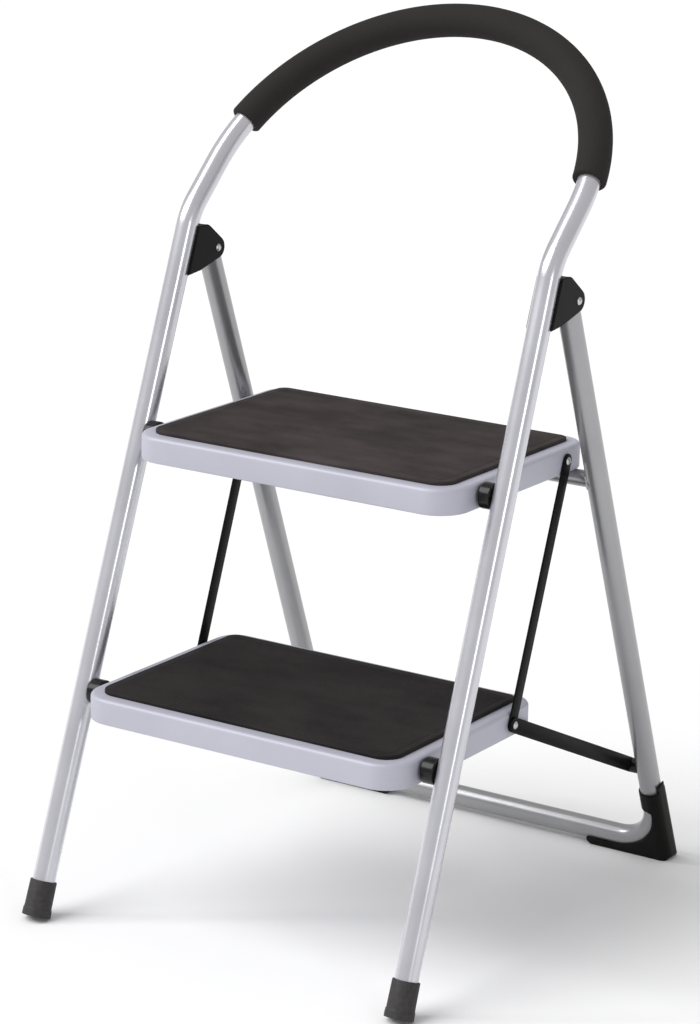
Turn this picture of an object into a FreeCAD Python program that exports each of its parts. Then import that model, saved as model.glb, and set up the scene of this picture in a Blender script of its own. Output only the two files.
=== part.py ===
# Folding step stool chair: two sheet-metal steps carried between a looped front
# frame and a bent rear frame that closes against it, with a padded rail on top.
# Millimetres. X runs across the stool, Y from front to back, Z up from the floor.
# The origin lies on the floor in the middle of the space that the stool covers.

import FreeCAD
import Part
import os
from math import acos, asin, atan2, cos, degrees, hypot, pi, radians, sin, tan

Vector = FreeCAD.Vector
X_AXIS = Vector(1, 0, 0)

# Tube stock
tube_radius = 11.0
tube_wall = 1.2
fit_gap = 0.05
slide_gap = 0.4

# How far cutting shapes run past what they cut
overcut = 1.0
drill_past = 5.0
tube_cut_reach = 60.0
floor_block = 2000.0
tolerance = 0.001

# Front frame: two legs that lean back, a bend, and a semicircular hand loop
front_lean = 19.85
foot_beside_step = 27.6
leg_taper = 5.1
bend_above_hinge = 38.9
bend_radius = 70.0
loop_lean = 46.0
loop_straight = 61.6

# Foam grip on the loop, its two ends measured up from the loop's diameter
grip_radius = 16.25
grip_left_angle = 14.9
grip_right_angle = 9.1

# Rubber tips of the front legs
tip_rise = 3.3
tip_length = 35.0
tip_foot_radius = 14.0
tip_top_radius = 13.0
tip_sole = 5.0
tip_edge_round = 1.2

# Rear frame: one bent tube, hinged behind the front legs
hinge_height = 621.7
hinge_offset = 40.6
rear_lean = 21.6
rear_end_above_hinge = 10.0
rear_bar_height = 15.3
rear_bend_radius = 48.0

# Crossbar welded between the rear legs, under the upper step
brace_radius = 8.0
brace_wall = 1.2
rest_gap = 0.3

# Rear corner boots, sizes in the plane of the rear frame
boot_outer_wall = 3.6
boot_half_depth = 13.5
boot_collar_low = 66.0
boot_collar_top = 89.0
boot_rib_top = 97.5
boot_taper = 1.5
boot_sole_reach = 92.0
boot_tip_slope = 4.0
boot_heel_slope = 5.0
boot_side_round = 10.5
boot_sleeve_radius = 12.6
boot_lip = 3.0
boot_under_floor = 20.0
boot_hollow_top = 200.0

# Hinge brackets, outline along the leg and square to it
bracket_inner_half = 11.3
bracket_cheek = 2.5
bracket_front = 1.0
bracket_web = 3.0
bracket_above_hinge = 13.0
bracket_below_hinge = 36.0
bracket_crest_above_hinge = 18.5
bracket_crest_depth = 16.0
bracket_crest_round = 10.0
bracket_heel_below_hinge = 27.0
bracket_heel_depth = 19.5
bracket_eye_radius = 10.5
bracket_slot_reach = 80.0
bracket_slot_depth = 100.0

# Hinge pins and the rivets that hold each bracket to its leg
pin_radius = 3.0
pin_head_radius = 3.8
pin_head_height = 2.0
bracket_rivet_radius = 2.0
bracket_rivet_head = 4.0
bracket_rivet_head_height = 1.5
bracket_rivet_above = 9.0
bracket_rivet_below = 26.0

# Steps: pressed trays with turned-down sides, each with a raised mat
step_half_width = 180.0
step_side_height = 25.0
step_sheet = 1.2
step_front_radius = 32.0
step_rear_radius = 24.0
step_rim_round = 4.0
upper_step_front = 54.8
upper_step_depth = 254.4
upper_step_pivot_height = 454.2
lower_step_front = 47.5
lower_step_depth = 252.8
lower_step_pivot_height = 214.3
mat_inset = 13.4
mat_thickness = 4.0
mat_edge_round = 1.5

# Spacers between the step sides and the legs, and the rivets through them
spacer_radius = 12.5
spacer_neck_radius = 6.5
spacer_cap = 10.0
step_pin_head_radius = 6.0
step_pin_head_height = 1.6

# Flat links: the drop links join the steps, the struts reach the rear frame
link_thickness = 2.0
drop_link_width = 14.0
strut_width = 15.0
link_pivot_reach = 155.5
strut_foot_height = 107.0
link_rivet_radius = 2.5
link_rivet_head_radius = 3.8
link_rivet_head_height = 1.8
strut_spacer_radius = 7.5
strut_spacer_cap = 6.0

# Places worked out from the sizes above
lean = radians(front_lean)
rear = radians(rear_lean)
loop = radians(loop_lean)
foot_half_spacing = step_half_width + foot_beside_step
loop_radius = foot_half_spacing - leg_taper
bend_height = hinge_height + bend_above_hinge
bend_run = bend_height / cos(lean)
tip_end_run = tip_rise / cos(lean)
hinge_run = (hinge_height + hinge_offset * sin(lean)) / cos(lean)
hinge_y = hinge_run * sin(lean) + hinge_offset * cos(lean)
rear_floor_y = hinge_y + hinge_height * tan(rear)
front_edge_y = tip_end_run * sin(lean) - tip_foot_radius * cos(lean)
back_edge_y = rear_floor_y + boot_half_depth / cos(rear)
middle_y = (front_edge_y + back_edge_y) / 2


def leg_half(run):
    """Half the spacing of the front legs at a distance along the leg."""
    return foot_half_spacing + (loop_radius - foot_half_spacing) * run / bend_run


def leg_point(side, run, depth=0.0):
    """A point by its run up a front leg and its depth behind the leg's centre line."""
    x = side * leg_half(run)
    return Vector(x, run * sin(lean) + depth * cos(lean) - middle_y, run * cos(lean) - depth * sin(lean))


def loop_point(angle):
    """A point of the hand loop's centre line, by its angle above the diameter."""
    rise = loop_straight + loop_radius * sin(angle)
    start = leg_point(1, bend_run)
    return Vector(loop_radius * cos(angle), start.y + rise * sin(loop), start.z + rise * cos(loop))


def rear_point(x, run, depth=0.0):
    """A point in the rear frame's plane, by its run up from the floor."""
    y = rear_floor_y - middle_y - run * sin(rear) + depth * cos(rear)
    return Vector(x, y, run * cos(rear) + depth * sin(rear))


rear_half = leg_half(hinge_run)
rear_hinge_run = hinge_height / cos(rear)
rear_bar_run = rear_bar_height / cos(rear)
hinge_point = Vector(0, hinge_y - middle_y, hinge_height)
upper_pivot_run = upper_step_pivot_height / cos(lean)
lower_pivot_run = lower_step_pivot_height / cos(lean)
upper_pivot = Vector(0, leg_point(1, upper_pivot_run).y, upper_step_pivot_height)
lower_pivot = Vector(0, leg_point(1, lower_pivot_run).y, lower_step_pivot_height)
upper_link_pivot = upper_pivot + Vector(0, link_pivot_reach, 0)
lower_link_pivot = lower_pivot + Vector(0, link_pivot_reach, 0)
strut_foot = rear_point(0, strut_foot_height / cos(rear))
brace_height = upper_step_pivot_height - step_side_height / 2 - rest_gap - brace_radius
brace_centre = rear_point(0, brace_height / cos(rear))
drop_link_inner = step_half_width + slide_gap
strut_inner = drop_link_inner + link_thickness + slide_gap
strut_outer = strut_inner + link_thickness
pin_bore = pin_radius + fit_gap
link_bore = link_rivet_radius + fit_gap


def at_x(point, x):
    """The same point moved to another place across the stool."""
    return Vector(x, point.y, point.z)


def rod(x_from, x_to, centre, radius):
    """A round bar across the stool."""
    start = min(x_from, x_to)
    return Part.makeCylinder(radius, abs(x_to - x_from), at_x(centre, start), X_AXIS)


def dome_middle(first, second):
    """The middle of the arc of a domed head, from its crown and rim as (x, radius)."""
    crown, rim = (first, second) if first[1] == 0 else (second, first)
    height = crown[0] - rim[0]
    ball = (rim[1] ** 2 + height ** 2) / (2 * height)
    half = asin(rim[1] / abs(ball)) / 2
    return crown[0] - ball * (1 - cos(half)), abs(ball) * sin(half)


def turned(centre, corners, domes=()):
    """A solid turned about a line across the stool, from its corners as (x, radius)."""
    def place(corner):
        return at_x(centre, corner[0]) + Vector(0, 0, corner[1])
    edges = [line(place(corners[-1]), place(corners[0]))]
    for index, (first, second) in enumerate(zip(corners, corners[1:])):
        if index in domes:
            edges.append(arc(place(first), place(dome_middle(first, second)), place(second)))
        else:
            edges.append(line(place(first), place(second)))
    return Part.Face(Part.Wire(edges)).revolve(centre, X_AXIS, 360)


def leg_rod(side, run_from, run_to, radius):
    """A round bar on the centre line of a front leg."""
    start = leg_point(side, run_from)
    way = leg_point(side, run_to) - start
    return Part.makeCylinder(radius, way.Length, start, way)


def rounded_corner(before, corner, after, radius):
    """The two tangent points and the middle point of an arc in a path's corner."""
    back = (before - corner).normalize()
    ahead = (after - corner).normalize()
    half = back.getAngle(ahead) / 2
    reach = radius / tan(half)
    inward = (back + ahead).normalize()
    middle = corner + inward * (radius / sin(half) - radius)
    return corner + back * reach, middle, corner + ahead * reach


def swept_piece(edge, radius):
    """A round bar along one straight or one arc of a path."""
    start = edge.Vertexes[0].Point
    if isinstance(edge.Curve, Part.Line):
        way = edge.Vertexes[-1].Point - start
        return Part.makeCylinder(radius, way.Length, start, way)
    curve = edge.Curve
    sweep = degrees(edge.LastParameter - edge.FirstParameter)
    way = edge.tangentAt(edge.FirstParameter)
    disc = Part.Face(Part.Wire(Part.makeCircle(radius, start, way)))
    return disc.revolve(curve.Center, curve.Axis, sweep)


def swept_bar(edges, radius):
    """A round solid bar along a smooth path of straights and arcs."""
    pieces = [swept_piece(edge, radius) for edge in edges]
    return pieces[0].multiFuse(pieces[1:])


def swept_tube(edges, outer_radius, wall):
    """A round tube along a smooth path of straights and arcs."""
    return swept_bar(edges, outer_radius).cut(swept_bar(edges, outer_radius - wall))


def line(start, end):
    return Part.LineSegment(start, end).toShape()


def arc(start, middle, end):
    return Part.Arc(start, middle, end).toShape()


def front_path(start_run):
    """Centre line of the front frame, from one leg's end to the other's."""
    left_end = leg_point(-1, start_run)
    right_end = leg_point(1, start_run)
    left_arc = rounded_corner(left_end, leg_point(-1, bend_run), loop_point(pi), bend_radius)
    right_arc = rounded_corner(right_end, leg_point(1, bend_run), loop_point(0), bend_radius)
    return [
        line(left_end, left_arc[0]),
        arc(*left_arc),
        line(left_arc[2], loop_point(pi)),
        arc(loop_point(pi), loop_point(pi / 2), loop_point(0)),
        line(loop_point(0), right_arc[2]),
        arc(right_arc[2], right_arc[1], right_arc[0]),
        line(right_arc[0], right_end),
    ]


def rear_path(end_run):
    """Centre line of the rear frame, down one leg, across and up the other."""
    top_left = rear_point(-rear_half, end_run)
    top_right = rear_point(rear_half, end_run)
    corner_left = rear_point(-rear_half, rear_bar_run)
    corner_right = rear_point(rear_half, rear_bar_run)
    left_arc = rounded_corner(top_left, corner_left, corner_right, rear_bend_radius)
    right_arc = rounded_corner(corner_left, corner_right, top_right, rear_bend_radius)
    return [
        line(top_left, left_arc[0]),
        arc(*left_arc),
        line(left_arc[2], right_arc[0]),
        arc(*right_arc),
        line(right_arc[2], top_right),
    ]


def front_frame_tube():
    """Both front legs and the hand loop, bent from one length of round tube."""
    tube = swept_tube(front_path(tip_end_run + tip_sole), tube_radius, tube_wall)
    for side in (-1, 1):
        for pivot, run in ((upper_pivot, upper_pivot_run), (lower_pivot, lower_pivot_run)):
            inner_side = side * (leg_half(run) - tube_radius - overcut)
            tube = tube.cut(rod(inner_side, side * leg_half(run), pivot, pin_bore))
        for run in bracket_rivet_runs():
            tube = tube.cut(bracket_rivet_shank(side, run, bracket_rivet_radius + fit_gap))
    return tube


def handle_grip():
    """Foam sleeve stretched over the upper part of the loop."""
    right_end = radians(grip_right_angle)
    left_end = pi - radians(grip_left_angle)
    middle = (right_end + left_end) / 2
    path = [arc(loop_point(right_end), loop_point(middle), loop_point(left_end))]
    return swept_tube(path, grip_radius, grip_radius - tube_radius - fit_gap)


def is_circle(edge, radius):
    """True for a full circle of a given radius."""
    curve = edge.Curve
    return isinstance(curve, Part.Circle) and abs(curve.Radius - radius) < tolerance and edge.isClosed()


def front_tip(side):
    """Rubber ferrule pushed over a front leg, worn flat where it meets the floor."""
    start = leg_point(side, tip_end_run)
    way = leg_point(side, tip_end_run + tip_length) - start
    body = Part.makeCone(tip_foot_radius, tip_top_radius, tip_length, start, way)
    top_rim = [edge for edge in body.Edges if is_circle(edge, tip_top_radius)]
    body = body.makeFillet(tip_edge_round, top_rim)
    bore = leg_rod(side, tip_end_run + tip_sole, tip_end_run + 2 * tip_length, tube_radius + fit_gap)
    return body.cut(bore).cut(below_floor())


def below_floor():
    """A block that takes away everything under the floor."""
    corner = Vector(-floor_block / 2, -floor_block / 2, -floor_block)
    return Part.makeBox(floor_block, floor_block, floor_block, corner)


def tangent_point(point, centre, radius, turn):
    """Where a line from a point touches a circle, in leg coordinates."""
    away = (point[0] - centre[0], point[1] - centre[1])
    distance = hypot(*away)
    angle = atan2(away[1], away[0]) + turn * acos(radius / distance)
    return (centre[0] + radius * cos(angle), centre[1] + radius * sin(angle))


def bracket_outline():
    """Corners of the bracket's cheek, as run along the leg and depth behind it."""
    eye = (hinge_run, hinge_offset)
    top_front = (hinge_run + bracket_above_hinge, bracket_front)
    crest = (hinge_run + bracket_crest_above_hinge, bracket_crest_depth)
    heel = (hinge_run - bracket_heel_below_hinge, bracket_heel_depth)
    toe = (hinge_run - bracket_below_hinge, bracket_front)
    upper_touch = tangent_point(crest, eye, bracket_eye_radius, 1)
    lower_touch = tangent_point(heel, eye, bracket_eye_radius, -1)
    return [top_front, crest, upper_touch, eye, lower_touch, heel, toe]


def hinge_bracket(side):
    """Folded bracket: a web behind the leg and two cheeks that hold the hinge pin."""
    outer_half = bracket_inner_half + bracket_cheek
    corners = [leg_point(side, run, depth) for run, depth in bracket_outline()]
    corners = [at_x(corner, side * rear_half - outer_half) for corner in corners]
    plate = Part.Face(Part.makePolygon(corners + corners[:1])).extrude(X_AXIS * (2 * outer_half))
    crest = [edge for edge in plate.Edges if edge.BoundBox.ZMin > corners[1].z - tolerance]
    plate = plate.makeFillet(bracket_crest_round, crest)
    eye = rod(side * rear_half - outer_half, side * rear_half + outer_half, hinge_point, bracket_eye_radius)
    block = plate.fuse(eye).removeSplitter()
    block = block.cut(bracket_slot(side))
    block = block.cut(swept_bar(front_path(tip_end_run), tube_radius + fit_gap))
    block = block.cut(hinge_bore(side, outer_half))
    for run in bracket_rivet_runs():
        block = block.cut(bracket_rivet_shank(side, run, bracket_rivet_radius + fit_gap))
    return block


def hinge_bore(side, half_length):
    """The hole for a hinge pin."""
    reach = half_length + drill_past
    return rod(side * rear_half - reach, side * rear_half + reach, hinge_point, pin_bore)


def bracket_slot(side):
    """The space between the cheeks, behind the web."""
    depth = tube_radius + bracket_web
    low_run = hinge_run - bracket_slot_reach
    high_run = hinge_run + bracket_slot_reach
    corners = [
        leg_point(side, low_run, depth),
        leg_point(side, high_run, depth),
        leg_point(side, high_run, depth + bracket_slot_depth),
        leg_point(side, low_run, depth + bracket_slot_depth),
    ]
    corners = [at_x(corner, side * rear_half - bracket_inner_half) for corner in corners]
    return Part.Face(Part.makePolygon(corners + corners[:1])).extrude(X_AXIS * (2 * bracket_inner_half))


def bracket_rivet_runs():
    return (hinge_run + bracket_rivet_above, hinge_run - bracket_rivet_below)


def bracket_rivet_shank(side, run, radius):
    """Shank from the bracket's web into the leg, square to the leg."""
    start = leg_point(side, run, tube_radius + bracket_web)
    way = leg_point(side, run) - start
    return Part.makeCylinder(radius, bracket_web + 2 * tube_wall, start, way)


def bracket_rivets():
    """Two rivets in each bracket's web, heads between the cheeks."""
    rivets = []
    for side in (-1, 1):
        for run in bracket_rivet_runs():
            face = leg_point(side, run, tube_radius + bracket_web)
            way = face - leg_point(side, run)
            head = Part.makeCylinder(bracket_rivet_head, bracket_rivet_head_height, face, way)
            rivets.append(head.fuse(bracket_rivet_shank(side, run, bracket_rivet_radius)))
    return Part.makeCompound(rivets)


def hinge_pins():
    """One pin through each bracket and the rear leg between its cheeks."""
    face = bracket_inner_half + bracket_cheek
    crown = face + pin_head_height
    corners = [(-crown, 0), (-face, pin_head_radius), (-face, pin_radius),
               (face, pin_radius), (face, pin_head_radius), (crown, 0)]
    pins = []
    for side in (-1, 1):
        moved = [(side * rear_half + x, radius) for x, radius in corners]
        pins.append(turned(hinge_point, moved, domes=(0, 4)))
    return Part.makeCompound(pins)


def rear_frame_tube():
    """Both rear legs and the floor bar, bent from one length of round tube."""
    end_run = rear_hinge_run + rear_end_above_hinge
    tube = swept_tube(rear_path(end_run), tube_radius, tube_wall)
    for side in (-1, 1):
        tube = tube.cut(hinge_bore(side, tube_radius))
    return tube


def rear_leg_rod(side, height, radius):
    """A round bar on the centre line of a rear leg, about a height."""
    run = height / cos(rear)
    low = rear_point(side * rear_half, run - tube_cut_reach)
    high = rear_point(side * rear_half, run + tube_cut_reach)
    return Part.makeCylinder(radius, 2 * tube_cut_reach, low, high - low)


def rear_brace():
    """Thinner tube welded between the rear legs; the upper step rests on it."""
    bar = rod(-rear_half, rear_half, brace_centre, brace_radius)
    reach = rear_half + overcut
    bar = bar.cut(rod(-reach, reach, brace_centre, brace_radius - brace_wall))
    for side in (-1, 1):
        bar = bar.cut(rear_leg_rod(side, brace_height, tube_radius + fit_gap))
    return bar


def rear_block(side, x_from, x_to, run_from, run_to, half_depth, taper=0.0):
    """A block in the rear frame's plane, x counted outwards, its top narrower by a taper."""
    corners = [
        rear_point(side * x_from, run_from, -half_depth),
        rear_point(side * x_to, run_from, -half_depth),
        rear_point(side * (x_to - taper), run_to, -half_depth),
        rear_point(side * x_from, run_to, -half_depth),
    ]
    through = rear_point(0, 0, half_depth) - rear_point(0, 0, -half_depth)
    return Part.Face(Part.makePolygon(corners + corners[:1])).extrude(through)


def floor_slope(side, x_start, x_end):
    """A wedge along the floor that rises from x_start, level with the floor, to x_end."""
    rise = abs(x_end - x_start)
    level = Vector(side * x_start, -floor_block / 2, 0)
    high = Vector(side * x_end, -floor_block / 2, rise)
    low = Vector(side * x_end, -floor_block / 2, 0)
    return Part.Face(Part.makePolygon([level, high, low, level])).extrude(Vector(0, floor_block, 0))


def boot_hollow(side):
    """The space that the bend of the rear frame lies in, open to the front and back."""
    bend_x = rear_half - rear_bend_radius
    bend_top = rear_bar_run + rear_bend_radius
    open_depth = boot_half_depth + drill_past
    hollow = rear_block(side, 0, bend_x, rear_bar_run - boot_lip, boot_hollow_top, open_depth)
    hollow = hollow.fuse(rear_block(side, 0, rear_half + boot_lip, bend_top, boot_hollow_top, open_depth))
    low = rear_point(side * bend_x, bend_top, -open_depth)
    through = rear_point(0, 0, open_depth) - rear_point(0, 0, -open_depth)
    return hollow.fuse(Part.makeCylinder(rear_bend_radius + boot_lip, 2 * open_depth, low, through))


def rear_foot(side):
    """Moulded boot: a sole, a half-round outer side over the bend, and a sleeve above."""
    outer = rear_half + tube_radius + boot_outer_wall
    tip_low = outer - boot_sole_reach - boot_outer_wall
    wall = rear_block(side, rear_half, outer, -boot_under_floor, boot_rib_top, boot_half_depth, boot_taper)
    long_edges = [edge for edge in wall.Edges if edge.Length > boot_rib_top
                  and abs(edge.BoundBox.Center.x) > rear_half + overcut]
    wall = wall.makeFillet(boot_side_round, long_edges)
    above = rear_block(side, 0, outer + overcut, boot_collar_top, boot_hollow_top, boot_half_depth + overcut)
    rib = rear_block(side, rear_half + tube_radius, outer + overcut, 0, boot_hollow_top, boot_half_depth / 2)
    wall = wall.cut(above.cut(rib))
    sole = rear_block(side, tip_low, rear_half, -boot_under_floor, boot_collar_low, boot_half_depth)
    sleeve_low = rear_point(side * rear_half, boot_collar_low)
    sleeve_way = rear_point(side * rear_half, boot_collar_top) - sleeve_low
    sleeve = Part.makeCylinder(boot_sleeve_radius, sleeve_way.Length, sleeve_low, sleeve_way)
    upper_wall = wall.common(rear_block(side, 0, outer + overcut, boot_collar_low, boot_hollow_top,
                                        boot_half_depth + overcut))
    boot = wall.fuse(sole).cut(boot_hollow(side)).fuse(upper_wall).fuse(sleeve).removeSplitter()
    boot = boot.cut(floor_slope(side, tip_low + boot_tip_slope, tip_low))
    boot = boot.cut(floor_slope(side, outer - boot_heel_slope, outer + overcut))
    boot = boot.cut(swept_bar(rear_path(rear_hinge_run), tube_radius + fit_gap))
    return boot.cut(below_floor())


def rounded_plate(half_width, front, back, inset, low, high):
    """A flat plate square to Z, inside a step's outline, with the step's rounded corners."""
    plate = Part.makeBox(2 * half_width, back - front, high - low, Vector(-half_width, front, low))
    upright = [edge for edge in plate.Edges if abs(edge.tangentAt(edge.FirstParameter).z) > 1 - tolerance]
    at_front = [edge for edge in upright if edge.BoundBox.YMax < (front + back) / 2]
    plate = plate.makeFillet(step_front_radius - inset, at_front)
    upright = [edge for edge in plate.Edges if edge.BoundBox.XLength < tolerance
               and abs(edge.BoundBox.YMin - back) < tolerance and edge.BoundBox.YLength < tolerance]
    return plate.makeFillet(step_rear_radius - inset, upright)


def top_edges(shape, high):
    """The edges that lie in a level plane."""
    return [edge for edge in shape.Edges
            if abs(edge.BoundBox.ZMin - high) < tolerance and abs(edge.BoundBox.ZMax - high) < tolerance]


def step_limits(pivot, front_reach, depth):
    """Front, back, underside and top of a step, from its pivot."""
    front = pivot.y - front_reach
    low = pivot.z - step_side_height / 2
    return front, front + depth, low, low + step_side_height


def step_tray(pivot, front_reach, depth):
    """Pressed sheet tray, open below, with holes for its pivots and its links."""
    front, back, low, high = step_limits(pivot, front_reach, depth)
    outer = rounded_plate(step_half_width, front, back, 0, low, high)
    outer = outer.makeFillet(step_rim_round, top_edges(outer, high))
    inner = rounded_plate(step_half_width - step_sheet, front + step_sheet, back - step_sheet,
                          step_sheet, low - overcut, high - step_sheet)
    inner = inner.makeFillet(step_rim_round - step_sheet, top_edges(inner, high - step_sheet))
    tray = outer.cut(inner)
    reach = step_half_width + drill_past
    tray = tray.cut(rod(-reach, reach, pivot, pin_bore))
    return tray.cut(rod(-reach, reach, pivot + Vector(0, link_pivot_reach, 0), link_bore))


def step_mat(pivot, front_reach, depth):
    """Rubber tread laid on the tray inside its rim."""
    front, back, low, high = step_limits(pivot, front_reach, depth)
    mat = rounded_plate(step_half_width - mat_inset, front + mat_inset, back - mat_inset,
                        mat_inset, high, high + mat_thickness)
    return mat.makeFillet(mat_edge_round, top_edges(mat, high + mat_thickness))


def step_spacer(side, pivot, run):
    """Round boss on the leg, hollowed to sit on the tube, with a neck to the step's side."""
    boss = rod(side * strut_inner, side * (leg_half(run) - spacer_cap), pivot, spacer_radius)
    neck = rod(side * (step_half_width + rest_gap), side * (strut_inner + overcut), pivot, spacer_neck_radius)
    boss = boss.fuse(neck)
    boss = boss.cut(leg_rod(side, run - tube_cut_reach, run + tube_cut_reach, tube_radius + fit_gap))
    return boss.cut(rod(side * (step_half_width - drill_past), side * leg_half(run), pivot, pin_bore))


def step_pivot_rivets():
    """Rivets fixed in the legs, on which the steps turn."""
    rivets = []
    inside = step_half_width - step_sheet - rest_gap
    crown = inside - step_pin_head_height
    for side in (-1, 1):
        for pivot, run in ((upper_pivot, upper_pivot_run), (lower_pivot, lower_pivot_run)):
            tail = leg_half(run) - tube_radius + 3 * tube_wall
            corners = [(crown, 0), (crown, step_pin_head_radius), (inside, step_pin_head_radius),
                       (inside, pin_radius), (tail, pin_radius), (tail, 0)]
            rivets.append(turned(pivot, [(side * x, radius) for x, radius in corners]))
    return Part.makeCompound(rivets)


def flat_link(side, inner, start, end, width):
    """Flat bar with round ends and a hole at each, in a plane square to X."""
    way = (end - start).normalize()
    across = X_AXIS.cross(way) * (width / 2)
    corners = [start + across, end + across, end - across, start - across]
    left = min(side * inner, side * (inner + link_thickness))
    corners = [at_x(corner, left) for corner in corners]
    bar = Part.Face(Part.makePolygon(corners + corners[:1])).extrude(X_AXIS * link_thickness)
    for point in (start, end):
        bar = bar.fuse(rod(left, left + link_thickness, point, width / 2))
    bar = bar.removeSplitter()
    for point in (start, end):
        bar = bar.cut(rod(left - overcut, left + link_thickness + overcut, point, link_bore))
    return bar


def drop_link(side):
    """Link from the upper step down to the lower step, parallel to the front leg."""
    return flat_link(side, drop_link_inner, upper_link_pivot, lower_link_pivot, drop_link_width)


def strut(side):
    """Link from the lower step's side back to the rear leg."""
    return flat_link(side, strut_inner, lower_link_pivot, strut_foot, strut_width)


def side_rivets(pivot, outer_face):
    """A pair of rivets fixed in a step's sides, with a domed head outside."""
    inside = step_half_width - step_sheet
    tail = inside - link_rivet_head_height
    crown = outer_face + link_rivet_head_height
    corners = [(tail, 0), (tail, link_rivet_head_radius), (inside, link_rivet_head_radius),
               (inside, link_rivet_radius), (outer_face, link_rivet_radius),
               (outer_face, link_rivet_head_radius), (crown, 0)]
    rivets = [turned(pivot, [(side * x, radius) for x, radius in corners], domes=(5,)) for side in (-1, 1)]
    return Part.makeCompound(rivets)


def strut_foot_rivet(side):
    """Rivet at the strut's rear end, its head on the inner face."""
    crown = strut_inner - link_rivet_head_height
    corners = [(strut_outer, 0), (strut_outer, link_rivet_radius), (strut_inner, link_rivet_radius),
               (strut_inner, link_rivet_head_radius), (crown, 0)]
    return turned(strut_foot, [(side * x, radius) for x, radius in corners], domes=(3,))


def strut_spacer(side):
    """Round spacer on the rear leg's inner side, where the strut is riveted."""
    face = strut_outer + rest_gap
    boss = rod(side * face, side * (rear_half - strut_spacer_cap), strut_foot, strut_spacer_radius)
    return boss.cut(rear_leg_rod(side, strut_foot_height, tube_radius + fit_gap))


def build_nodes():
    """Every sub-part of the stool by its name."""
    nodes = {
        "front_frame_tube": front_frame_tube(),
        "handle_grip": handle_grip(),
        "bracket_rivets": bracket_rivets(),
        "hinge_pins": hinge_pins(),
        "step_pivot_rivets": step_pivot_rivets(),
        "rear_frame_tube": rear_frame_tube(),
        "rear_brace": rear_brace(),
        "upper_step_tray": step_tray(upper_pivot, upper_step_front, upper_step_depth),
        "upper_step_mat": step_mat(upper_pivot, upper_step_front, upper_step_depth),
        "lower_step_tray": step_tray(lower_pivot, lower_step_front, lower_step_depth),
        "lower_step_mat": step_mat(lower_pivot, lower_step_front, lower_step_depth),
        "upper_link_rivets": side_rivets(upper_link_pivot, drop_link_inner + link_thickness + rest_gap),
        "lower_link_rivets": side_rivets(lower_link_pivot, strut_outer + rest_gap),
    }
    for side, name in ((-1, "left"), (1, "right")):
        nodes["front_tip_" + name] = front_tip(side)
        nodes["hinge_bracket_" + name] = hinge_bracket(side)
        nodes["rear_foot_" + name] = rear_foot(side)
        nodes["upper_step_spacer_" + name] = step_spacer(side, upper_pivot, upper_pivot_run)
        nodes["lower_step_spacer_" + name] = step_spacer(side, lower_pivot, lower_pivot_run)
        nodes["drop_link_" + name] = drop_link(side)
        nodes["strut_" + name] = strut(side)
        nodes["strut_foot_rivet_" + name] = strut_foot_rivet(side)
        nodes["strut_spacer_" + name] = strut_spacer(side)
    return nodes


def export_nodes():
    """Write one file for each sub-part and print what it holds."""
    os.makedirs("parts", exist_ok=True)
    for name, shape in build_nodes().items():
        shape.exportStep("parts/" + name + ".step")
        box = shape.BoundBox
        print("%-26s solids %d valid %s volume %10.1f  x %.1f %.1f  y %.1f %.1f  z %.1f %.1f" % (
            name, len(shape.Solids), shape.isValid(), shape.Volume,
            box.XMin, box.XMax, box.YMin, box.YMax, box.ZMin, box.ZMax))


export_nodes()
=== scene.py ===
from math import cos, pi, radians, sin, tan

import bmesh
import bpy
from mathutils import Matrix, Vector


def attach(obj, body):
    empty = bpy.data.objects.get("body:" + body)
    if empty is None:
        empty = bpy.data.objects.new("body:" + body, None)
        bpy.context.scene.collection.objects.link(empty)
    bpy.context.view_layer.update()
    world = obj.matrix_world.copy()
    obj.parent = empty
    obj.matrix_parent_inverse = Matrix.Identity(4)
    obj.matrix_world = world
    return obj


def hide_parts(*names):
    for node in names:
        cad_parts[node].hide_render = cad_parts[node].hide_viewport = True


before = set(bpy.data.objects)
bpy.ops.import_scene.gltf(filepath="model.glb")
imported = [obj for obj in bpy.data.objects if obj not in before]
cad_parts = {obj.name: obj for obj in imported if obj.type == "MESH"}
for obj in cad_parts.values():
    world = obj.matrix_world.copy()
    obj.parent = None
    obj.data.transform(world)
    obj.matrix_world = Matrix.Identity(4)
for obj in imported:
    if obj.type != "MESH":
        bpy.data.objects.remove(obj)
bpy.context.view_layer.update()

# Camera: at the photograph's place, looking down on the stool from its right front. Its
# place and lens come from a fit to the level treads and to the plane of each frame.
camera_data = bpy.data.cameras.new("camera")
camera_data.lens = 120.29
camera_data.sensor_width = 36
camera_data.clip_end = 100
camera = bpy.data.objects.new("camera", camera_data)
camera.location = (1.713303, -2.689232, 1.257819)
camera.rotation_euler = (radians(74.7116), radians(-1.2426), radians(33.1866))
bpy.context.scene.collection.objects.link(camera)
bpy.context.scene.camera = camera
bpy.context.scene.view_settings.view_transform = "Standard"

# Front frame: one length of 22 mm steel tube, bent into two legs and a hand loop and
# sprayed in silver enamel. Sizes are in millimetres.
millimetre = 0.001
same_place = 0.001
tube_radius = 11.0
front_lean = radians(19.85)
foot_half_spacing = 207.6
bend_height = 660.6
bend_radius = 70.0
loop_lean = radians(46.0)
loop_straight = 61.6
loop_radius = 202.5
tip_run = 3.51
tip_sole = 5.0
middle_y = 258.147
bend_run = bend_height / cos(front_lean)
tube_sides = 40
bend_steps = 14
loop_steps = 40
crease_angle = radians(32)


def leg_half(run):
    """Half the spacing of the front legs at a distance along the leg."""
    return foot_half_spacing + (loop_radius - foot_half_spacing) * run / bend_run


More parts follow.
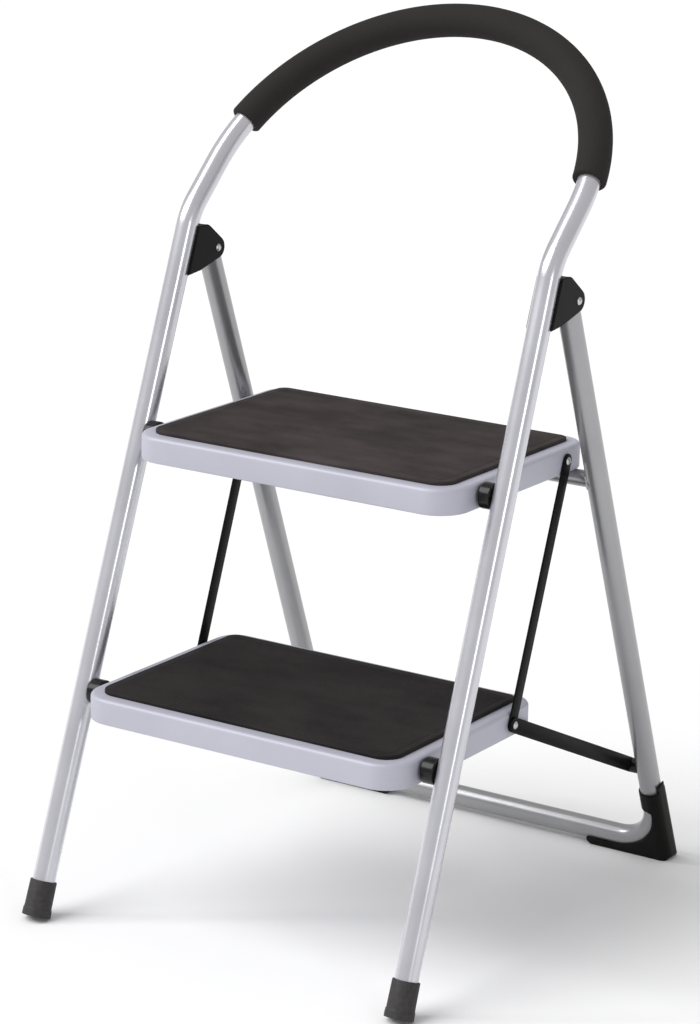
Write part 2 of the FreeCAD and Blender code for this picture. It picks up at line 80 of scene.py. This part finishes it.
def leg_point(side, run, depth=0.0):
    """A point by its run up a front leg and its depth behind the leg's centre line."""
    back = run * sin(front_lean) + depth * cos(front_lean) - middle_y
    return Vector((side * leg_half(run), back, run * cos(front_lean) - depth * sin(front_lean)))


def loop_point(across, rise):
    """A point in the plane of the hand loop."""
    start = leg_point(1, bend_run)
    return Vector((across, start.y + rise * sin(loop_lean), start.z + rise * cos(loop_lean)))


def ring(mesh, centre, way, radius, sides=tube_sides):
    """The edges of a circle square to a direction."""
    place = Matrix.Translation(centre) @ way.to_track_quat("Z", "Y").to_matrix().to_4x4()
    made = bmesh.ops.create_circle(mesh, segments=sides, radius=radius, matrix=place)["verts"]
    return list({edge for vert in made for edge in vert.link_edges})


def corners_of(edges):
    return list({vert for edge in edges for vert in edge.verts})


def push(mesh, edges, way, centre=None, growth=1.0):
    """Draw a ring of edges out along a direction, and widen it about a centre."""
    made = bmesh.ops.extrude_edge_only(mesh, edges=edges)["geom"]
    moved = [part for part in made if isinstance(part, bmesh.types.BMVert)]
    if centre is not None:
        bmesh.ops.scale(mesh, vec=(growth,) * 3, verts=moved, space=Matrix.Translation(-centre))
    bmesh.ops.translate(mesh, verts=moved, vec=way)
    return [part for part in made if isinstance(part, bmesh.types.BMEdge)]


def turn(mesh, edges, centre, axis, angle, steps):
    """Draw a ring of edges round an axis."""
    made = bmesh.ops.spin(mesh, geom=corners_of(edges) + edges, cent=centre, axis=axis,
                          angle=angle, steps=steps)
    return [part for part in made["geom_last"] if isinstance(part, bmesh.types.BMEdge)]


def bent_tube(mesh, points, bends, radius):
    """A round tube through its corner points, each rounded to a bend radius."""
    edges = ring(mesh, points[0], points[1] - points[0], radius)
    first = edges
    here = points[0]
    for before, corner, after, (bend, steps) in zip(points, points[1:], points[2:], bends):
        back = (before - corner).normalized()
        ahead = (after - corner).normalized()
        half = back.angle(ahead) / 2
        start = corner + back * (bend / tan(half))
        centre = corner + (back + ahead).normalized() * (bend / sin(half))
        if (start - here).length > same_place:
            edges = push(mesh, edges, start - here)
        edges = turn(mesh, edges, centre, ahead.cross(back), pi - 2 * half, steps)
        here = corner + ahead * (bend / tan(half))
    edges = push(mesh, edges, points[-1] - here)
    return first, edges


def close(mesh, *rings):
    for edges in rings:
        bmesh.ops.edgeloop_fill(mesh, edges=edges)


def soften(mesh, edges, radius, steps):
    """Round edges over to a radius."""
    bmesh.ops.bevel(mesh, geom=edges, offset=radius, segments=steps, profile=0.5,
                    affect="EDGES", material=-1)


def make_piece(name, mesh, body, slot, material, *nodes):
    """Turn a finished mesh, drawn in millimetres, into a piece on its body."""
    bmesh.ops.remove_doubles(mesh, verts=mesh.verts, dist=same_place)
    bmesh.ops.recalc_face_normals(mesh, faces=mesh.faces)
    bmesh.ops.scale(mesh, vec=(millimetre,) * 3, verts=mesh.verts)
    for edge in mesh.edges:
        edge.smooth = len(edge.link_faces) != 2 or edge.calc_face_angle() < crease_angle
    for face in mesh.faces:
        face.smooth = True
    data = bpy.data.meshes.new(name)
    mesh.to_mesh(data)
    mesh.free()
    data.materials.append(material)
    piece = bpy.data.objects.new(name, data)
    bpy.context.scene.collection.objects.link(piece)
    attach(piece, body)
    if nodes:
        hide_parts(*nodes)
    return piece


class Number:
    """A number worked out on a surface, for use in plain expressions."""

    def __init__(self, finish, socket):
        self.finish = finish
        self.socket = socket

    def work(self, operation, *values):
        node = self.finish.node("Math", {"operation": operation}, dict(enumerate(values)))
        return Number(self.finish, node.outputs[0])

    def __add__(self, other):
        return self.work("ADD", self, other)

    def __sub__(self, other):
        return self.work("SUBTRACT", self, other)

    def __rsub__(self, other):
        return self.work("SUBTRACT", other, self)

    def __mul__(self, other):
        return self.work("MULTIPLY", self, other)

    __radd__ = __add__
    __rmul__ = __mul__


class Finish:
    """A surface finish: one shader and the nodes that vary it."""

    def __init__(self, name, roughness, **constants):
        self.material = bpy.data.materials.new(name)
        self.material.use_nodes = True
        self.tree = self.material.node_tree
        self.shader = self.tree.nodes["Principled BSDF"]
        self.place = self.node("TexCoord", {}, {}).outputs["Object"]
        self.put("Roughness", roughness)
        for key, value in constants.items():
            self.put(key.replace("_", " "), value)

    def node(self, kind, settings, values):
        """Add a node, give it its settings, then its values or links."""
        node = self.tree.nodes.new("ShaderNode" + kind)
        for key, value in settings.items():
            if key == "stops":
                for stop, (where, colour) in zip(node.color_ramp.elements, value):
                    stop.position = where
                    stop.color = (*colour, 1)
            else:
                setattr(node, key, value)
        for key, value in values.items():
            self.join(node.inputs[key], value)
        return node

    def join(self, socket, value):
        value = getattr(value, "socket", value)
        if isinstance(value, bpy.types.NodeSocket):
            self.tree.links.new(value, socket)
        else:
            socket.default_value = value

    def put(self, key, value):
        self.join(self.shader.inputs[key], value)

    def noise(self, size, detail=2.0, stretch=(1, 1, 1)):
        """Soft noise whose grains are about a size in millimetres."""
        vector = self.node("Mapping", {}, {"Vector": self.place, "Scale": stretch}).outputs[0]
        values = {"Vector": vector, "Scale": 1 / (size * millimetre), "Detail": detail}
        return Number(self, self.node("TexNoise", {}, values).outputs["Fac"])

    def tint(self, factor, dark, light):
        """Colour the surface between a dark and a light colour."""
        values = {0: factor, 6: (*dark, 1), 7: (*light, 1)}
        self.put("Base Color", self.node("Mix", {"data_type": "RGBA"}, values).outputs[2])

    def relief(self, height, depth):
        """Raise the surface by a height map, its full depth in millimetres."""
        values = {"Strength": 1.0, "Distance": depth * millimetre, "Height": height}
        self.put("Normal", self.node("Bump", {}, values).outputs[0])


cloud_size = 60
flake_size = 0.7
peel_size = 1.6
peel_depth = 0.02
tube_dark = (0.57, 0.57, 0.61)
tube_light = (0.73, 0.73, 0.78)


def enamel(name, dark, light, roughness, metallic):
    """Sprayed silver enamel: orange peel, faint clouding and fine metal flake."""
    finish = Finish(name, roughness, Metallic=metallic, Specular_IOR_Level=0.4)
    cloud = finish.noise(cloud_size, 3)
    flake = finish.noise(flake_size, 0)
    finish.tint(cloud * 0.7 + flake * 0.3, dark, light)
    finish.put("Roughness", roughness - 0.06 + cloud * 0.12)
    finish.relief(finish.noise(peel_size, 1), peel_depth)
    return finish.material


tube_enamel = enamel("tube_enamel", tube_dark, tube_light, roughness=0.23, metallic=0.72)
front_mesh = bmesh.new()
loop_top = loop_straight + loop_radius
front_points = [
    leg_point(-1, tip_run + tip_sole),
    leg_point(-1, bend_run),
    loop_point(-loop_radius, loop_top),
    loop_point(loop_radius, loop_top),
    leg_point(1, bend_run),
    leg_point(1, tip_run + tip_sole),
]
front_bends = [
    (bend_radius, bend_steps),
    (loop_radius, loop_steps),
    (loop_radius, loop_steps),
    (bend_radius, bend_steps),
]
close(front_mesh, *bent_tube(front_mesh, front_points, front_bends, tube_radius))
make_piece("front_tube", front_mesh, "front_frame", "silver_tube_paint", tube_enamel, "front_frame_tube")

# Grip: a closed-cell foam sleeve pushed over the top of the loop while wet with soap,
# cut square at both ends. It holds by its own stretch.
grip_radius = 16.25
grip_left_angle = radians(14.9)
grip_right_angle = radians(9.1)
grip_edge_round = 2.2
grip_edge_steps = 5
grip_steps = 110
grip_sides = 48
grip_cell_size = 0.9
grip_cell_depth = 0.35
grip_wear_size = 45
grip_dark = (0.012, 0.010, 0.010)
grip_light = (0.040, 0.035, 0.035)

grip_foam = Finish("grip_foam", roughness=0.85, Specular_IOR_Level=0.15)
grip_cells = grip_foam.noise(grip_cell_size, 3)
grip_wear = grip_foam.noise(grip_wear_size, 3)
grip_foam.tint(grip_cells * 0.6 + grip_wear * 0.4, grip_dark, grip_light)
grip_foam.put("Roughness", 0.78 + grip_wear * 0.14)
grip_foam.relief(grip_cells, grip_cell_depth)


def grip_point(angle):
    """A point of the loop's centre line, by its angle above the diameter."""
    return loop_point(loop_radius * cos(angle), loop_straight + loop_radius * sin(angle))


grip_mesh = bmesh.new()
loop_centre = loop_point(0, loop_straight)
loop_axis = Vector((0, -cos(loop_lean), sin(loop_lean)))
grip_start = grip_point(grip_right_angle)
grip_way = loop_axis.cross(grip_start - loop_centre).normalized()
grip_ring = ring(grip_mesh, grip_start, grip_way, tube_radius, grip_sides)
grip_rims = [grip_ring]
grip_ring = push(grip_mesh, grip_ring, Vector(), grip_start, grip_radius / tube_radius)
grip_rims.append(grip_ring)
grip_sweep = pi - grip_left_angle - grip_right_angle
grip_ring = turn(grip_mesh, grip_ring, loop_centre, loop_axis, grip_sweep, grip_steps)
grip_rims.append(grip_ring)
grip_end = grip_point(pi - grip_left_angle)
close(grip_mesh, grip_rims[0], push(grip_mesh, grip_ring, Vector(), grip_end, tube_radius / grip_radius))
soften(grip_mesh, grip_rims[1] + grip_rims[2], grip_edge_round, grip_edge_steps)
grip = make_piece("foam_grip", grip_mesh, "front_frame", "grip_foam", grip_foam.material, "handle_grip")

# Front tips: moulded rubber ferrules pushed over the tube ends, with a thicker foot
# ring below a step and a rounded top rim. Both are cut level where they stand.
tip_length = 35.0
tip_foot_radius = 14.0
tip_wall_radius = 13.3
tip_top_radius = 13.0
tip_foot_ring = 7.0
tip_groove = 1.2
tip_round = 0.9
tip_round_steps = 3
tip_scuff_size = 5
tip_pit_size = 1.2
tip_pit_depth = 0.06
tip_dark = (0.010, 0.009, 0.009)
tip_light = (0.055, 0.050, 0.052)

tip_rubber = Finish("tip_rubber", roughness=0.62, Specular_IOR_Level=0.4)
tip_scuff = tip_rubber.noise(tip_scuff_size, 4)
tip_rubber.tint(tip_scuff, tip_dark, tip_light)
tip_rubber.put("Roughness", 0.5 + tip_scuff * 0.25)
tip_rubber.relief(tip_rubber.noise(tip_pit_size, 3), tip_pit_depth)

for side, name in ((-1, "left"), (1, "right")):
    mesh = bmesh.new()
    way = (leg_point(side, tip_run + tip_length) - leg_point(side, tip_run)).normalized()
    start = leg_point(side, tip_run)
    edges = ring(mesh, start, way, tip_foot_radius)
    bottom = edges
    steps = [
        (tip_foot_ring, tip_foot_radius),
        (tip_groove, tip_wall_radius),
        (tip_length - tip_foot_ring - tip_groove, tip_top_radius),
        (0, tube_radius),
    ]
    rims = []
    radius = tip_foot_radius
    centre = start
    for length, next_radius in steps:
        edges = push(mesh, edges, way * length, centre, next_radius / radius)
        centre = centre + way * length
        radius = next_radius
        rims.append(edges)
    close(mesh, bottom, edges)
    soften(mesh, rims[0] + rims[1] + rims[2], tip_round, tip_round_steps)
    cut = bmesh.ops.bisect_plane(mesh, geom=mesh.verts[:] + mesh.edges[:] + mesh.faces[:],
                                 plane_co=(0, 0, 0), plane_no=(0, 0, -1), clear_outer=True)
    close(mesh, [part for part in cut["geom_cut"] if isinstance(part, bmesh.types.BMEdge)])
    make_piece("tip_" + name, mesh, "front_frame", "tip_rubber", tip_rubber.material, "front_tip_" + name)

# Rear frame: a second bent length of the same tube, which closes up between the hinge
# brackets, with a thinner crossbar welded across it. A fillet of weld shows at each end.
rear_lean = radians(21.6)
hinge_height = 621.7
hinge_offset = 40.6
rear_bar_height = 15.3
rear_bend_radius = 48.0
rear_bend_steps = 20
rear_end_above_hinge = 10.0
brace_radius = 8.0
brace_height = 433.4
weld_radius = 1.7
weld_sides = 12
weld_steps = 56
rear_end_depth = 25.0
tube_wall = 1.2
# The rear tube and crossbar colours are the same silver tube paint made darker: painted shade on the rear
# frame.
rear_shaded_dark = (0.32, 0.32, 0.33)
rear_shaded_light = (0.44, 0.44, 0.45)
hinge_run = (hinge_height + hinge_offset * sin(front_lean)) / cos(front_lean)
hinge_y = leg_point(1, hinge_run, hinge_offset).y
rear_floor_y = hinge_y + hinge_height * tan(rear_lean)
rear_half = leg_half(hinge_run)
rear_bar_run = rear_bar_height / cos(rear_lean)
rear_end_run = hinge_height / cos(rear_lean) + rear_end_above_hinge


def rear_point(x, run, depth=0.0):
    """A point in the rear frame's plane, by its run up from the floor."""
    back = rear_floor_y - run * sin(rear_lean) + depth * cos(rear_lean)
    return Vector((x, back, run * cos(rear_lean) + depth * sin(rear_lean)))


# A darker copy of the tube enamel: the rear frame's painted shade.
rear_shaded_enamel = enamel("rear_shaded_enamel", rear_shaded_dark, rear_shaded_light, roughness=0.32, metallic=0.7)
rear_mesh = bmesh.new()
rear_points = [
    rear_point(-rear_half, rear_end_run),
    rear_point(-rear_half, rear_bar_run),
    rear_point(rear_half, rear_bar_run),
    rear_point(rear_half, rear_end_run),
]
rear_rims = bent_tube(rear_mesh, rear_points, [(rear_bend_radius, rear_bend_steps)] * 2, tube_radius)
for point, edges in zip((rear_points[0], rear_points[-1]), rear_rims):
    down = (rear_points[1] - rear_points[0]).normalized() * rear_end_depth
    edges = push(rear_mesh, edges, Vector(), point, 1 - tube_wall / tube_radius)
    close(rear_mesh, push(rear_mesh, edges, down))
make_piece("rear_tube", rear_mesh, "rear_frame", "silver_tube_paint", rear_shaded_enamel, "rear_frame_tube")

brace_centre = rear_point(0, brace_height / cos(rear_lean))
brace_mesh = bmesh.new()
brace_end = Vector((rear_half - tube_radius / 2, 0, 0))
brace_ring = ring(brace_mesh, brace_centre - brace_end, Vector((1, 0, 0)), brace_radius)
close(brace_mesh, brace_ring, push(brace_mesh, brace_ring, brace_end * 2))
leg_way = (rear_points[0] - rear_points[1]).normalized()
across_leg = Vector((1, 0, 0)).cross(leg_way)
for side in (-1, 1):
    start = brace_centre + leg_way * (brace_radius + weld_radius / 2)
    bead = ring(brace_mesh, start, across_leg, weld_radius, weld_sides)
    bmesh.ops.spin(brace_mesh, geom=corners_of(bead) + bead, cent=brace_centre, axis=(1, 0, 0),
                   angle=2 * pi, steps=weld_steps, use_merge=True)
    for vert in [vert for vert in brace_mesh.verts if abs(vert.co.x) < 2 * weld_radius]:
        aside = (vert.co - brace_centre).dot(across_leg)
        reach = rear_half - (tube_radius ** 2 - min(abs(aside), tube_radius - same_place) ** 2) ** 0.5
        vert.co.x += side * reach
make_piece("rear_crossbar", brace_mesh, "rear_frame", "silver_tube_paint", rear_shaded_enamel, "rear_brace")

# Boots: black plastic mouldings that carry the rear bends on a flat sole and hold the
# leg in a sleeve. The mould leaves every edge softly rounded and the face satin.
boot_grain = 0.9
boot_smoothing = 6
mould_cloud_size = 9
mould_pit_size = 0.8
mould_pit_depth = 0.025
mould_dark = (0.003, 0.0027, 0.0025)
mould_light = (0.009, 0.008, 0.007)

black_moulding = Finish("black_moulding", roughness=0.42, Specular_IOR_Level=0.1)
mould_cloud = black_moulding.noise(mould_cloud_size, 3)
black_moulding.tint(mould_cloud, mould_dark, mould_light)
black_moulding.put("Roughness", 0.36 + mould_cloud * 0.16)
black_moulding.relief(black_moulding.noise(mould_pit_size, 2), mould_pit_depth)


def moulded_copy(name, node, body, slot, material, grain, smoothing):
    """A moulding with the node's shape, every edge rounded off."""
    mesh = bmesh.new()
    mesh.from_mesh(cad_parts[node].data)
    bmesh.ops.scale(mesh, vec=(1 / millimetre,) * 3, verts=mesh.verts)
    piece = make_piece(name, mesh, body, slot, material, node)
    cast = piece.modifiers.new("cast", "REMESH")
    cast.mode = "VOXEL"
    cast.voxel_size = grain * millimetre
    cast.use_smooth_shade = True
    polish = piece.modifiers.new("polish", "SMOOTH")
    polish.iterations = smoothing
    polish.factor = 0.5


for side in ("left", "right"):
    moulded_copy("boot_" + side, "rear_foot_" + side, "rear_frame", "black_moulding",
                 black_moulding.material, boot_grain, boot_smoothing)

# Hinge brackets: black steel channels folded round the back of each front leg, riveted
# to it through the web. The rear leg's end turns on a pin between their cheeks.
bracket_grain = 0.7
bracket_smoothing = 4
steel_cloud_size = 14
steel_peel_size = 1.4
steel_peel_depth = 0.02
steel_dark = (0.002, 0.002, 0.002)
steel_light = (0.008, 0.0075, 0.007)

black_steel = Finish("black_steel", roughness=0.4, Specular_IOR_Level=0.08)
steel_cloud = black_steel.noise(steel_cloud_size, 4)
black_steel.tint(steel_cloud, steel_dark, steel_light)
black_steel.put("Roughness", 0.32 + steel_cloud * 0.16)
black_steel.relief(black_steel.noise(steel_peel_size, 2), steel_peel_depth)

for side in ("left", "right"):
    moulded_copy("bracket_" + side, "hinge_bracket_" + side, "front_frame", "black_steel",
                 black_steel.material, bracket_grain, bracket_smoothing)

# Rivets and pins: zinc plated steel, closed cold under a cupped punch, which leaves a
# low dome with fine marks on each head.
rivet_mark_size = 0.6
rivet_mark_depth = 0.03
rivet_dark = (0.42, 0.42, 0.42)
rivet_light = (0.72, 0.72, 0.72)

rivet_steel = Finish("rivet_steel", roughness=0.3, Metallic=0.9)
rivet_marks = rivet_steel.noise(rivet_mark_size, 3)
rivet_steel.tint(rivet_marks, rivet_dark, rivet_light)
rivet_steel.put("Roughness", 0.24 + rivet_marks * 0.2)
rivet_steel.relief(rivet_marks, rivet_mark_depth)
rivet_nodes = ["bracket_rivets", "hinge_pins", "step_pivot_rivets", "upper_link_rivets",
               "lower_link_rivets", "strut_foot_rivet_left", "strut_foot_rivet_right"]
for name in rivet_nodes:
    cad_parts[name].material_slots[0].material = rivet_steel.material

# Steps: trays pressed from sheet steel, the rim rolled over and the lower edge hemmed
# inwards. Satin silver enamel, a little bluer than the tubes.
step_half_width = 180.0
step_side_height = 25.0
step_sheet = 1.2
step_front_radius = 32.0
step_rear_radius = 24.0
step_rim_round = 4.0
hem_height = 6.0
corner_steps = 16
rim_steps = 6
inner_rim_steps = 4
hem_steps = 8
step_dark = (0.42, 0.42, 0.49)
step_light = (0.53, 0.53, 0.61)

# Height of each step's pivot, its reach in front of the pivot and its depth
step_places = {"upper": (454.2, 54.8, 254.4), "lower": (214.3, 47.5, 252.8)}


def pivot_place(height):
    """The point on a leg's centre line at a height, moved to the middle of the stool."""
    return Vector((0, leg_point(1, height / cos(front_lean)).y, height))


def round_outline(mesh, front, back, inset, height):
    """The edges of a level rounded rectangle, set in from the step's outline."""
    half = step_half_width - inset
    corners = [mesh.verts.new((x, y, height)) for x, y in
               ((-half, front + inset), (half, front + inset), (half, back - inset), (-half, back - inset))]
    known = set(mesh.edges)
    mesh.faces.new(corners)
    for pair, radius in ((corners[:2], step_front_radius), (corners[2:], step_rear_radius)):
        bmesh.ops.bevel(mesh, geom=pair, offset=radius - inset, segments=corner_steps,
                        profile=0.5, affect="VERTICES", material=-1)
    edges = [edge for edge in mesh.edges if edge not in known]
    faces = list({face for edge in edges for face in edge.link_faces})
    bmesh.ops.delete(mesh, geom=faces, context="FACES_ONLY")
    return edges


def rounded(inset, height, radius, first, last, steps):
    """Points of an arc in a section, about a centre given by its inset and height."""
    turns = [radians(first + (last - first) * step / steps) for step in range(steps + 1)]
    return [(inset - radius * cos(angle), height + radius * sin(angle)) for angle in turns]


def stacked(mesh, front, back, section):
    """A shell drawn through level outlines, its first and last ones closed."""
    rings = [round_outline(mesh, front, back, inset, height) for inset, height in section]
    for first, second in zip(rings, rings[1:]):
        bmesh.ops.bridge_loops(mesh, edges=first + second)
    close(mesh, rings[0], rings[-1])


step_enamel = enamel("step_enamel", step_dark, step_light, roughness=0.5, metallic=0.15)
for name, (pivot_height, front_reach, depth) in step_places.items():
    front = pivot_place(pivot_height).y - front_reach
    back = front + depth
    low = pivot_height - step_side_height / 2
    high = low + step_side_height
    rim = (step_rim_round, high - step_rim_round)
    section = rounded(*rim, step_rim_round, 90, 0, rim_steps)
    section += rounded(step_sheet, low + step_sheet, step_sheet, 0, -180, hem_steps)
    section += [(2 * step_sheet, low + hem_height), (step_sheet, low + hem_height)]
    section += rounded(*rim, step_rim_round - step_sheet, 0, 90, inner_rim_steps)
    mesh = bmesh.new()
    stacked(mesh, front, back, section)
    make_piece(name + "_tray", mesh, name + "_step", "silver_step_paint", step_enamel, name + "_step_tray")

# Treads: ribbed rubber mats glued inside the rim of each tray, with a plain border.
# The ribs run across the step and are dulled and dusty where feet land.
mat_inset = 13.4
mat_thickness = 4.0
mat_edge_round = 1.5
mat_border = 7.0
rib_pitch = 3.2
rib_width = 1.9
rib_rise = 0.35
rib_side = 0.3
mat_edge_steps = 5
dust_size = 70
streak_size = 20
streak_stretch = (0.4, 1, 1)
grain_size = 1.1
grain_depth = 0.08
upper_dark = (0.003, 0.001, 0.001)
upper_light = (0.078, 0.060, 0.060)
# The lower mat's colours are the upper mat's made darker: painted shade from the upper step above it.
lower_shaded_dark = (0.001, 0.0005, 0.0005)
lower_shaded_light = (0.034, 0.027, 0.027)


def tread_finish(name, dark, light):
    """Ribbed rubber, dusty in patches and streaked along the ribs."""
    finish = Finish(name, 0.6, Specular_IOR_Level=0.15)
    dust = finish.noise(dust_size, 4)
    streak = finish.noise(streak_size, 5, streak_stretch)
    grain = finish.noise(grain_size, 3)
    finish.tint(dust * 1.1 + streak * 0.7 + grain * 0.2 - 0.55, dark, light)
    finish.put("Roughness", 0.5 + dust * 0.2)
    finish.relief(grain, grain_depth)
    return finish.material


tread_rubbers = {
    "upper": tread_finish("upper_tread_rubber", upper_dark, upper_light),
    # The lower tread's darker colours are painted shade under the upper step.
    "lower": tread_finish("lower_tread_rubber_painted_shade", lower_shaded_dark, lower_shaded_light),
}

for name, (pivot_height, front_reach, depth) in step_places.items():
    front = pivot_place(pivot_height).y - front_reach
    back = front + depth
    low = pivot_height + step_side_height / 2
    top = low + mat_thickness - rib_rise
    edge = (mat_inset + mat_edge_round, top - mat_edge_round)
    section = [(mat_inset, low)]
    section += rounded(*edge, mat_edge_round, 0, 90, mat_edge_steps)
    mesh = bmesh.new()
    stacked(mesh, front, back, section)
    mesh.faces.ensure_lookup_table()
    bmesh.ops.recalc_face_normals(mesh, faces=mesh.faces)
    tread = max(mesh.faces, key=lambda face: (round(face.calc_center_median().z, 3), face.calc_area()))
    bmesh.ops.inset_region(mesh, faces=[tread], thickness=mat_border)
    ribs = int((depth - 2 * (mat_inset + mat_edge_round + mat_border)) / rib_pitch)
    rib_start = (front + back) / 2 - ribs * rib_pitch / 2
    rest = [tread]
    for rib in range(ribs):
        rib_front = rib_start + rib * rib_pitch
        for edge_y in (rib_front, rib_front + rib_width):
            geometry = rest + list({edge for face in rest for edge in face.edges})
            geometry += list({vert for face in rest for vert in face.verts})
            cut = bmesh.ops.bisect_plane(mesh, geom=geometry, plane_co=(0, edge_y, 0), plane_no=(0, 1, 0))
            faces = [part for part in cut["geom"] if isinstance(part, bmesh.types.BMFace)]
            rest = [face for face in faces if face.calc_center_median().y > edge_y]
            if edge_y != rib_front:
                strips = [face for face in faces if face.calc_center_median().y < edge_y]
                bmesh.ops.inset_individual(mesh, faces=strips, thickness=rib_side, depth=rib_rise)
    make_piece(name + "_tread", mesh, name + "_step", "tread_rubber", tread_rubbers[name],
               name + "_step_mat")

# Bosses: glossy black plastic spacers that hold each step's sides off the legs, and a
# smaller one on each rear leg behind the strut. Each is saddled to its tube.
boss_grain = 0.5
boss_smoothing = 8
gloss_cloud_size = 6
gloss_dark = (0.004, 0.004, 0.004)
gloss_light = (0.012, 0.011, 0.011)
boss_nodes = ["upper_step_spacer_left", "upper_step_spacer_right", "lower_step_spacer_left",
              "lower_step_spacer_right", "strut_spacer_left", "strut_spacer_right"]

gloss_moulding = Finish("gloss_moulding", roughness=0.2, Specular_IOR_Level=0.3)
gloss_cloud = gloss_moulding.noise(gloss_cloud_size, 3)
gloss_moulding.tint(gloss_cloud, gloss_dark, gloss_light)
gloss_moulding.put("Roughness", 0.16 + gloss_cloud * 0.12)
for name in boss_nodes:
    body = "rear_frame" if name.startswith("strut") else "front_frame"
    moulded_copy(name.replace("spacer", "boss"), name, body, "black_moulding",
                 gloss_moulding.material, boss_grain, boss_smoothing)

# Links: flat black steel bars with round ends, blanked in a press and tumbled to take
# off their sharp edges. The drop links join the two steps, the struts tie the lower one back.
link_thickness = 2.0
drop_link_width = 14.0
strut_width = 15.0
slide_gap = 0.4
link_pivot_reach = 155.5
strut_foot_height = 107.0
link_edge_round = 0.4
link_edge_steps = 2
link_end_steps = 16
upper_link_pivot = pivot_place(step_places["upper"][0]) + Vector((0, link_pivot_reach, 0))
lower_link_pivot = pivot_place(step_places["lower"][0]) + Vector((0, link_pivot_reach, 0))
strut_foot = rear_point(0, strut_foot_height / cos(rear_lean))
drop_link_inner = step_half_width + slide_gap
strut_inner = drop_link_inner + link_thickness + slide_gap
links = {
    "drop_link": (upper_link_pivot, lower_link_pivot, drop_link_width, drop_link_inner),
    "strut": (lower_link_pivot, strut_foot, strut_width, strut_inner),
}

for kind, (start, end, width, inner) in links.items():
    way = (end - start).normalized() * (width / 2)
    across = Vector((1, 0, 0)).cross(way)
    for side, name in ((-1, "left"), (1, "right")):
        mesh = bmesh.new()
        outline = []
        for point, first in ((end, 0), (start, pi)):
            for step in range(link_end_steps + 1):
                angle = first + pi * step / link_end_steps
                place = point + across * cos(angle) + way * sin(angle)
                outline.append(mesh.verts.new(place + Vector((side * inner, 0, 0))))
        edges = [mesh.edges.new(ends) for ends in zip(outline, outline[1:] + outline[:1])]
        far = push(mesh, edges, Vector((side * link_thickness, 0, 0)))
        close(mesh, edges, far)
        soften(mesh, edges + far, link_edge_round, link_edge_steps)
        make_piece(kind + "_bar_" + name, mesh, kind + "_" + name, "black_steel",
                   black_steel.material, kind + "_" + name)

# Studio: a white floor, even light from all round, one soft lamp and two narrow ones
# that draw bright lines along the tubes.
floor_half = 60
floor_white = (0.97, 0.97, 0.97, 1)
light_all_round = 0.54
white_seen = 1.0

# Power, height and bearing in degrees, and width in degrees of each lamp
lamps = {"left_lamp": (1.8, 50, -40, 42), "strip_lamp": (0.45, 30, -62, 8), "right_lamp": (0.2, 15, 60, 8)}

floor_mesh = bmesh.new()
bmesh.ops.create_grid(floor_mesh, x_segments=1, y_segments=1, size=floor_half)
floor_data = bpy.data.meshes.new("floor")
floor_mesh.to_mesh(floor_data)
floor_mesh.free()
floor = bpy.data.objects.new("floor", floor_data)
bpy.context.scene.collection.objects.link(floor)
floor_finish = Finish("floor", roughness=0.9, Base_Color=floor_white, Specular_IOR_Level=0.0)
floor_data.materials.append(floor_finish.material)

world = bpy.data.worlds.new("studio")
bpy.context.scene.world = world
world.use_nodes = True
world_nodes = world.node_tree.nodes
world_links = world.node_tree.links
light_path = world_nodes.new("ShaderNodeLightPath")
strength = world_nodes.new("ShaderNodeMapRange")
strength.inputs["To Min"].default_value = light_all_round
strength.inputs["To Max"].default_value = white_seen
world_links.new(light_path.outputs["Is Camera Ray"], strength.inputs["Value"])
background = world_nodes["Background"]
background.inputs["Color"].default_value = (1, 1, 1, 1)
world_links.new(strength.outputs["Result"], background.inputs["Strength"])

for name, (power, rise, around, spread) in lamps.items():
    lamp_data = bpy.data.lights.new(name, "SUN")
    lamp_data.energy = power
    lamp_data.angle = radians(spread)
    lamp = bpy.data.objects.new(name, lamp_data)
    lamp.rotation_euler = (radians(90 - rise), 0, radians(around))
    bpy.context.scene.collection.objects.link(lamp)
